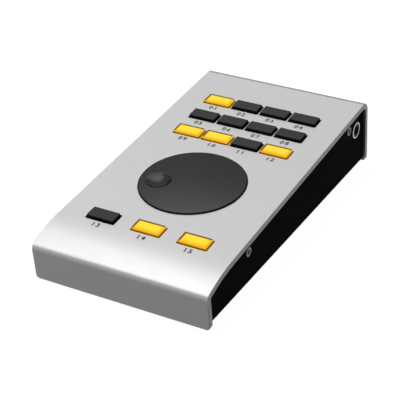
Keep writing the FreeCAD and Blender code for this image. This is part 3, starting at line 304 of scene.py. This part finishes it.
def key_unlit():
    """Smoked cap with its lamps off: nearly black, with painted shade on its sides, which are darker and rougher,
    and a fine moulded grain.
    """
    finish = Finish("key_unlit", (0.025, 0.025, 0.0255), 0.45, specular=0.08)
    # Painted shade: the sides are made darker and rougher than the top.
    painted_side_shade = (0.002, 0.002, 0.002)
    height = finish.along(OUT, PLATE_MIDDLE)
    top = finish.ramp(height, KEY_RISE - 0.2 * MM, KEY_RISE - 0.05 * MM)
    finish.join(finish.blend(top, painted_side_shade, finish.cloud(0.003, 0.12)), finish.shader.inputs["Base Color"])
    finish.join(finish.ramp(top, 0.0, 1.0, 0.95, finish.roughness), finish.shader.inputs["Roughness"])
    return finish.relief(finish.grain(0.1 * MM, 2.0), 0.004 * MM, 0.5).material


def key_lit(key):
    """The same cap with its lamps on: a lit copy of its finish, with a painted glow for the lamp chips' light.

    Its top glows yellow, paler in the middle and orange towards its edges. The sides go from orange to brown
    in the slot and at the cap's ends, mostly the left one: painted shade. The top's rear and left edges are
    brown, also painted shade.
    """
    # Colours of the cap's painted glow: yellow and orange, and brown where painted shade lies.
    yellow = (0.955, 0.7, 0.033)
    orange = (0.95, 0.5, 0.01)
    side_top, side_foot = (0.95, 0.52, 0.006), (0.82, 0.36, 0.003)
    brown = (0.17, 0.07, 0.002)
    corner = 1.6 * MM
    end_shift = 0.4 * MM
    brightness = 0.85
    unlit_share = 0.2
    finish = Finish(f"key_lit_{key}", yellow, 0.4, specular=0.1)
    (across, along), (half_length, half_depth) = key_top(key)
    middle = to_row((across, along, 0.0))
    height = finish.along(OUT, PLATE_MIDDLE)
    right = finish.along(ACROSS, middle)
    rear = finish.along(ALONG, middle)

    inset = finish.rounded_inset(right, rear, half_length, half_depth, corner)
    shaded = finish.rounded_inset(finish.reckon("SUBTRACT", right, half_length),
                                  finish.reckon("ADD", rear, half_depth),
                                  2 * half_length, 2 * half_depth, corner)
    top = finish.blend(finish.ramp(inset, 0.3 * MM, 1.8 * MM), orange, finish.cloud(0.004, 0.016, 2.0))
    # Painted shade: brown along the top's rear and left edges.
    top = finish.blend(finish.ramp(shaded, 0.9 * MM, 1.5 * MM), brown, top)

    # Painted shade: the sides darken to brown at the foot, in the slot, and at the cap's ends.
    side = finish.blend(finish.ramp(height, 0.4 * MM, 1.5 * MM), side_foot, side_top)
    side = finish.blend(finish.ramp(height, 0.15 * MM, 0.65 * MM), brown, side)
    from_middle = finish.reckon("ABSOLUTE", finish.reckon("SUBTRACT", right, end_shift))
    side = finish.blend(finish.ramp(from_middle, half_length - 0.2 * MM, half_length + 0.5 * MM), side, brown)

    over_edge = finish.ramp(height, KEY_RISE - 0.25 * MM, KEY_RISE - 0.03 * MM)
    shade = finish.blend(over_edge, side, top)
    # The cap's painted glow, which also sets a fifth of its base colour.
    finish.glow(shade, brightness)
    finish.join(finish.blend(unlit_share, (0.0, 0.0, 0.0), shade), finish.shader.inputs["Base Color"])
    return finish.relief(finish.grain(0.1 * MM, 2.0), 0.004 * MM, 0.5).material


def foot_rubber():
    """Soft black rubber with a dusty bloom."""
    finish = Finish("foot_rubber", (0.018, 0.018, 0.018), 0.8, specular=0.25)
    finish.mottle(0.003, 0.25)
    return finish.relief(finish.grain(0.2 * MM, 3.0), 0.01 * MM).material


def blackened_steel():
    """Black screws with a painted highlight: a grey ring on their heads. Both sides' screws share two axes across.
    """
    finish = Finish("blackened_steel", (0.012, 0.012, 0.012), 0.4, metallic=0.5)
    low, high = node_span("side_screws")
    head = (high[2] - low[2]) / 2
    level = (high[2] + low[2]) / 2
    radius = finish.reckon("MINIMUM", *(finish.from_axis(to_row((0, along, level)), ACROSS)
                                        for along in (low[1] + head, high[1] - head)))
    inner = finish.ramp(radius, head - 0.9 * MM, head - 0.7 * MM)
    outer = finish.ramp(radius, head - 0.4 * MM, head - 0.2 * MM, 1.0, 0.0)
    # Painted highlight: a grey ring on each screw head.
    painted_highlight_grey = finish.blend(finish.grain(0.8 * MM), (0.12, 0.12, 0.12), (0.4, 0.4, 0.4))
    ring = finish.reckon("MULTIPLY", inner, outer)
    finish.join(finish.blend(ring, finish.colour, painted_highlight_grey), finish.shader.inputs["Base Color"])
    return finish.relief(finish.grain(0.15 * MM, 2.0), 0.004 * MM).material


def plated(name, colour, roughness, size):
    """Bright plated metal with a faint cloud of the given size."""
    finish = Finish(name, colour, roughness, metallic=1.0)
    finish.mottle(size, 0.04).dapple(size, 0.03)
    return finish.relief(finish.grain(size / 6, 3.0), 0.002 * MM, 0.4).material


def moulded(name, colour, roughness, specular=0.4):
    """Plain moulded plastic with a fine spark-eroded grain."""
    finish = Finish(name, colour, roughness, specular=specular)
    finish.mottle(0.004, 0.06)
    return finish.relief(finish.grain(0.12 * MM, 3.0), 0.006 * MM, 0.6).material


def lamp_lens():
    """Lamp chip: a pale package with a warm die behind clear resin."""
    finish = Finish("lamp_lens", (0.75, 0.66, 0.42), 0.25, specular=0.5)
    finish.mottle(0.001, 0.1)
    return finish.glow((1.0, 0.6, 0.1, 1.0), 0.3).material


def board_resist():
    """Green resist over copper tracks, which stand out as paler lines."""
    finish = Finish("board_resist", (0.012, 0.085, 0.033), 0.35, specular=0.45)
    tracks_per_metre = 260.0
    tracks = finish.add("ShaderNodeTexBrick")
    finish.join(finish.place, tracks.inputs["Vector"])
    tracks.inputs["Scale"].default_value = tracks_per_metre
    tracks.inputs["Mortar Size"].default_value = 0.06
    finish.join((*finish.colour, 1.0), tracks.inputs["Color1"])
    finish.join((0.014, 0.1, 0.04, 1.0), tracks.inputs["Color2"])
    finish.join((0.03, 0.17, 0.07, 1.0), tracks.inputs["Mortar"])
    finish.join(tracks.outputs["Color"], finish.shader.inputs["Base Color"])
    return finish.relief(tracks.outputs["Fac"], 0.03 * MM).material


def ink():
    """Dark screen-printed ink, slightly matte and thin at its edges."""
    finish = Finish("ink", (0.012, 0.012, 0.013), 0.6, specular=0.2)
    finish.mottle(0.0006, 0.3)
    return finish.relief(finish.grain(0.08 * MM, 2.0), 0.003 * MM).material


def make_finishes():
    """One finish for each material slot of the record but the lit caps'."""
    return {
        "cover_aluminium": blasted_aluminium(),
        "bare_aluminium": bare_aluminium(),
        "tray_black": tray_paint(),
        "foot_rubber": foot_rubber(),
        "screw_black": blackened_steel(),
        "switch_black": moulded("black_nylon", (0.012, 0.012, 0.012), 0.5),
        "lamp_white": lamp_lens(),
        "frame_black": moulded("frame_plastic", (0.01, 0.01, 0.01), 0.65, 0.25),
        "dial_charcoal": dial_metal(),
        "well_black": moulded("well_paint", (0.01, 0.01, 0.01), 0.6, 0.25),
        "zinc_steel": plated("zinc_plate", (0.5, 0.5, 0.49), 0.3, 0.004),
        "board_green": board_resist(),
        "pillar_brass": plated("nickel_brass", (0.58, 0.53, 0.42), 0.28, 0.003),
        "chip_black": moulded("chip_resin", (0.014, 0.014, 0.015), 0.55),
        "can_aluminium": plated("can_aluminium", (0.6, 0.6, 0.6), 0.3, 0.003),
        "socket_steel": plated("socket_steel", (0.6, 0.6, 0.59), 0.24, 0.005),
        "stem_white": moulded("white_nylon", (0.7, 0.7, 0.67), 0.45),
        "ring_chrome": plated("bright_nickel", (0.78, 0.78, 0.77), 0.14, 0.002),
        "tab_brass": plated("tinned_brass", (0.72, 0.6, 0.36), 0.3, 0.002),
        "key_unlit": key_unlit(),
    }


def finish_nodes(finishes):
    """Give every carried-over node the finish of its slot, and each lit cap one about its own middle."""
    for row in frame["record"]["subparts"]:
        mesh = frame["nodes"][row["node"]].data
        mesh.materials.clear()
        if row["material_slot"] == "key_lit":
            mesh.materials.append(key_lit(row["node"][-2:]))
        else:
            mesh.materials.append(finishes[row["material_slot"]])


# ---- new surfaces ------------------------------------------------------------------------------------

def new_piece(name, points, faces, finish, smooth=True):
    """A mesh from row-frame points and faces, with its finish, on the housing."""
    mesh = bpy.data.meshes.new(name)
    mesh.from_pydata(np.asarray(points).tolist(), [], faces)
    mesh.validate()
    mesh.polygons.foreach_set("use_smooth", np.full(len(mesh.polygons), smooth))
    mesh.materials.append(finish)
    piece = bpy.data.objects.new(name, mesh)
    bpy.context.scene.collection.objects.link(piece)
    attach(piece, HOUSING)
    return piece


def grid_quads(rows, columns, start):
    """Quads over a grid of points whose columns close on themselves."""
    row, column = np.meshgrid(np.arange(rows - 1), np.arange(columns), indexing="ij")
    beside = (column + 1) % columns
    corners = (row * columns + column, row * columns + beside,
               (row + 1) * columns + beside, (row + 1) * columns + column)
    return (np.stack(corners, -1).reshape(-1, 4) + start).tolist()


def turned(profile, sides, start):
    """A closed solid of revolution.

    The profile is rows of (radius, height), from the axis at the bottom to the axis at the top. Point
    (i, j) is (radius_i cos t_j, radius_i sin t_j, height_i), where t_j = 2 pi j / sides, and the two ends
    on the axis are single points.
    """
    profile = np.asarray(profile, float)
    turn = 2 * math.pi * np.arange(sides) / sides
    rings = profile[1:-1]
    ring_points = np.stack((rings[:, :1] * np.cos(turn), rings[:, :1] * np.sin(turn),
                            np.repeat(rings[:, 1:], sides, 1)), -1).reshape(-1, 3)
    points = np.vstack((ring_points, (0, 0, profile[0, 1]), (0, 0, profile[-1, 1])))
    column = np.arange(sides)
    beside = (column + 1) % sides
    last = (len(rings) - 1) * sides
    bottom = np.stack((np.full(sides, len(ring_points)), beside, column), -1)
    top = np.stack((np.full(sides, len(ring_points) + 1), last + column, last + beside), -1)
    ends = np.vstack((bottom, top)) + start
    return points, grid_quads(len(rings), sides, start) + ends.tolist()


def squared_bar(width, length, height, start):
    """A straight bar with soft edges and ends, along the plate, about its own middle.

    It is a turned solid of radius (1 - s^4)^(1/4) at s from -1 to 1, with its round section squared off:
    the point at angle t is divided by (cos^4 t + sin^4 t)^(1/4). Each direction is then scaled.
    """
    steps, sides = 16, 24
    reach = -np.cos(math.pi * np.arange(steps + 1) / steps)
    radius = (1 - reach ** 4).clip(0) ** 0.25
    points, faces = turned(np.stack((radius, reach), -1), sides, start)
    distance = np.linalg.norm(points[:, :2], axis=1).clip(1e-9)
    squareness = np.sum((points[:, :2].T / distance) ** 4, axis=0) ** 0.25
    section = (points[:, :2].T / squareness.clip(0.5)).T
    return np.stack((-section[:, 0] * width, points[:, 2] * length, section[:, 1] * height), -1) / 2, faces


def arc(centre, radius, start, stop, steps):
    """Points of a circular arc in the profile's plane, angles in degrees."""
    angle = np.radians(np.linspace(start, stop, steps))
    return np.stack((centre[0] + radius * np.cos(angle), centre[1] + radius * np.sin(angle)), -1)


def make_feet(finishes):
    """Rubber feet: a cone with a rounded tread and a shallow dish in its sole."""
    tread = 5.2 * MM
    top = 6.0 * MM
    lip = 0.5 * MM
    dish = 3.4 * MM
    dish_slope = 0.1 * MM
    dish_depth = 0.6 * MM
    dish_round = dish_depth / 2
    sides = 48
    low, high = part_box("feet")
    height = high[2] - low[2]
    profile = np.vstack((
        (0.0, dish_depth),
        arc((dish - lip, dish_depth - dish_round), dish_round, 90, 0, 5),
        (dish + dish_slope, 0.0),
        (tread - lip, 0.0),
        arc((tread - lip, lip), lip, -90, -8, 7)[1:],
        (top, height),
        (0.0, height),
    ))
    points, faces = [], []
    for x in (low[0] + top, high[0] - top):
        for y in (low[1] + top, high[1] - top):
            foot_points, foot_faces = turned(profile, sides, sum(len(part) for part in points))
            points.append(foot_points + (x, y, low[2]))
            faces += foot_faces
    feet = new_piece("rubber_feet", np.vstack(points), faces, finishes["foot_rubber"])
    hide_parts("feet")


def make_key_numbers():
    """Plain numbers printed on the plate, one in front of each key.

    Each is drawn flat as text with a bevelled outline, which makes it bold. Its mesh is pressed to the
    ink's thickness and then carried from (across, along) to the plate.
    """
    figure_height = 3.0 * MM
    height_of_size = 0.7
    front_gap = 4.3 * MM
    bold = 0.14 * MM
    film = 0.02 * MM
    points, faces = [], []
    total = 0
    for key in KEYS:
        (across, along), (_, half_depth) = key_top(key)
        words = bpy.data.curves.new(f"number_{key}", "FONT")
        words.body = key
        words.size = figure_height / height_of_size
        words.space_character = 1.4
        words.bevel_depth = bold
        words.bevel_resolution = 1
        words.align_x = "CENTER"
        words.align_y = "CENTER"
        holder = bpy.data.objects.new(f"number_{key}", words)
        bpy.context.scene.collection.objects.link(holder)
        bpy.context.view_layer.update()
        shape = bpy.data.meshes.new_from_object(holder.evaluated_get(bpy.context.evaluated_depsgraph_get()))
        flat = np.empty(3 * len(shape.vertices))
        shape.vertices.foreach_get("co", flat)
        middle = (across, along - half_depth - front_gap, film / 2)
        pressed = flat.reshape(-1, 3) * (1.0, 1.0, film / 2 / bold)
        points.append(to_row(pressed + middle))
        faces += [[corner + total for corner in polygon.vertices] for polygon in shape.polygons]
        total += len(shape.vertices)
        bpy.data.objects.remove(holder)
        bpy.data.curves.remove(words)
        bpy.data.meshes.remove(shape)
    new_piece("key_numbers", np.vstack(points), faces, ink(), smooth=False)


def make_socket_contacts():
    """Four gilt strips, two over and two under the computer socket's tongue, half sunk in it."""
    width, thickness, pitch = 1.0 * MM, 0.4 * MM, 2.5 * MM
    end_gap = 0.4 * MM
    low, high = node_span("usb_tongue")
    points, faces = [], []
    for level in (low[2], high[2]):
        for across in (-pitch / 2, pitch / 2):
            bar, bar_faces = squared_bar(width, high[1] - low[1] - 2 * end_gap, thickness,
                                         sum(len(part) for part in points))
            middle = ((low[0] + high[0]) / 2 + across, (low[1] + high[1]) / 2, level)
            points.append(to_row(bar + middle))
            faces += bar_faces
    gilt = plated("gilt_contact", (0.83, 0.6, 0.22), 0.22, 0.001)
    new_piece("computer_contacts", np.vstack(points), faces, gilt)


# ---- stage, light and camera ----------------------------------------------------------------------

def seen_directly(tree):
    """1 where the eye, a reflection or glass sees the surface, and 0 where it only lights others."""
    path = tree.nodes.new("ShaderNodeLightPath")
    seen = path.outputs["Is Camera Ray"]
    for name in ("Is Glossy Ray", "Is Transmission Ray"):
        either = tree.nodes.new("ShaderNodeMath")
        either.operation = "MAXIMUM"
        tree.links.new(seen, either.inputs[0])
        tree.links.new(path.outputs[name], either.inputs[1])
        seen = either.outputs["Value"]
    return seen


def make_floor():
    """Plain pale floor. What sees it directly sees white with a faint shadow."""
    reach = 6.0
    unseen_grey = (0.036, 0.036, 0.036, 1.0)
    seen_grey = (0.05, 0.05, 0.05, 1.0)
    seen_glow = 0.98
    corners = [(-reach, -reach, 0), (reach, -reach, 0), (reach, reach, 0), (-reach, reach, 0)]
    mesh = bpy.data.meshes.new("floor")
    mesh.from_pydata(corners, [], [(0, 1, 2, 3)])
    floor = bpy.data.objects.new("floor", mesh)
    bpy.context.scene.collection.objects.link(floor)
    material = bpy.data.materials.new("floor")
    material.use_nodes = True
    tree = material.node_tree
    tree.nodes.clear()
    pale = tree.nodes.new("ShaderNodeBsdfDiffuse")
    pale.inputs["Color"].default_value = unseen_grey
    shaded = tree.nodes.new("ShaderNodeBsdfDiffuse")
    shaded.inputs["Color"].default_value = seen_grey
    white = tree.nodes.new("ShaderNodeEmission")
    white.inputs["Strength"].default_value = seen_glow
    both = tree.nodes.new("ShaderNodeAddShader")
    tree.links.new(shaded.outputs[0], both.inputs[0])
    tree.links.new(white.outputs[0], both.inputs[1])
    seen = seen_directly(tree)
    mix = tree.nodes.new("ShaderNodeMixShader")
    tree.links.new(seen, mix.inputs["Fac"])
    tree.links.new(pale.outputs[0], mix.inputs[1])
    tree.links.new(both.outputs[0], mix.inputs[2])
    out = tree.nodes.new("ShaderNodeOutputMaterial")
    tree.links.new(mix.outputs[0], out.inputs["Surface"])
    mesh.materials.append(material)


def make_world():
    """Even light from all round, and plain white where the eye or a reflection looks past the floor."""
    unseen_level = 0.01
    seen_level = 1.0
    world = bpy.data.worlds.new("studio")
    bpy.context.scene.world = world
    world.use_nodes = True
    tree = world.node_tree
    tree.nodes.clear()
    seen = seen_directly(tree)
    level = tree.nodes.new("ShaderNodeMapRange")
    level.inputs["To Min"].default_value = unseen_level
    level.inputs["To Max"].default_value = seen_level
    tree.links.new(seen, level.inputs["Value"])
    sky = tree.nodes.new("ShaderNodeBackground")
    tree.links.new(level.outputs["Result"], sky.inputs["Strength"])
    out = tree.nodes.new("ShaderNodeOutputWorld")
    tree.links.new(sky.outputs[0], out.inputs["Surface"])


def make_lamp(name, side, back, width, length, radiance):
    """A softbox that faces the object, of a given brightness per area.

    It stands over the object, leant to the right by one angle and to the rear by another. Its length runs
    from front to rear. Width and length are the angles that it fills, in degrees.
    """
    distance = 2.0
    lean = math.radians(side), math.radians(back)
    towards = Vector((math.sin(lean[0]), math.cos(lean[0]) * math.sin(lean[1]),
                      math.cos(lean[0]) * math.cos(lean[1])))
    lengthwise = Vector((0.0, math.cos(lean[1]), -math.sin(lean[1])))
    widthwise = lengthwise.cross(towards)
    lamp = bpy.data.lights.new(name, "AREA")
    lamp.shape = "RECTANGLE"
    lamp.size = 2 * distance * math.tan(math.radians(width / 2))
    lamp.size_y = 2 * distance * math.tan(math.radians(length / 2))
    lamp.energy = math.pi * radiance * lamp.size * lamp.size_y
    holder = bpy.data.objects.new(name, lamp)
    turn = Matrix((widthwise, lengthwise, towards)).transposed()
    holder.matrix_world = Matrix.Translation(towards * distance) @ turn.to_4x4()
    bpy.context.scene.collection.objects.link(holder)
    return holder


def light_only(lamp, node):
    """Flag a lamp off everything but one node."""
    flagged = bpy.data.collections.new(f"{lamp.name}_lights")
    flagged.objects.link(frame["nodes"][node])
    lamp.light_linking.receiver_collection = flagged


def make_camera():
    """Long lens from the front right, a little rolled, aimed just in front of the dial's axis."""
    place = Vector(to_row((0.31042, -0.50402, 0.39360)))
    aim = Vector(to_row((0.009766, -0.0095, -0.002546)))
    roll = math.radians(-1.4265)
    lens = bpy.data.cameras.new("camera")
    lens.lens = 116.14
    lens.sensor_width = 36.0
    lens.clip_start = 0.05
    lens.clip_end = 50.0
    camera = bpy.data.objects.new("camera", lens)
    turn = (aim - place).to_track_quat("-Z", "Y").to_matrix() @ Matrix.Rotation(roll, 3, "Z")
    camera.matrix_world = Matrix.Translation(place) @ turn.to_4x4()
    bpy.context.scene.collection.objects.link(camera)
    bpy.context.scene.camera = camera


finishes = make_finishes()
finish_nodes(finishes)
make_feet(finishes)
make_key_numbers()
make_socket_contacts()
make_floor()
make_world()
make_lamp("overhead", side=-21, back=-12, width=32, length=60, radiance=6.25)
make_lamp("overhead_rear", side=0, back=20, width=70, length=46, radiance=0.55)
dial_lamp = make_lamp("dial_lamp", side=-14, back=26, width=34, length=24, radiance=9.0)
light_only(dial_lamp, "dial")
make_camera()
bpy.context.scene.view_settings.view_transform = "Standard"
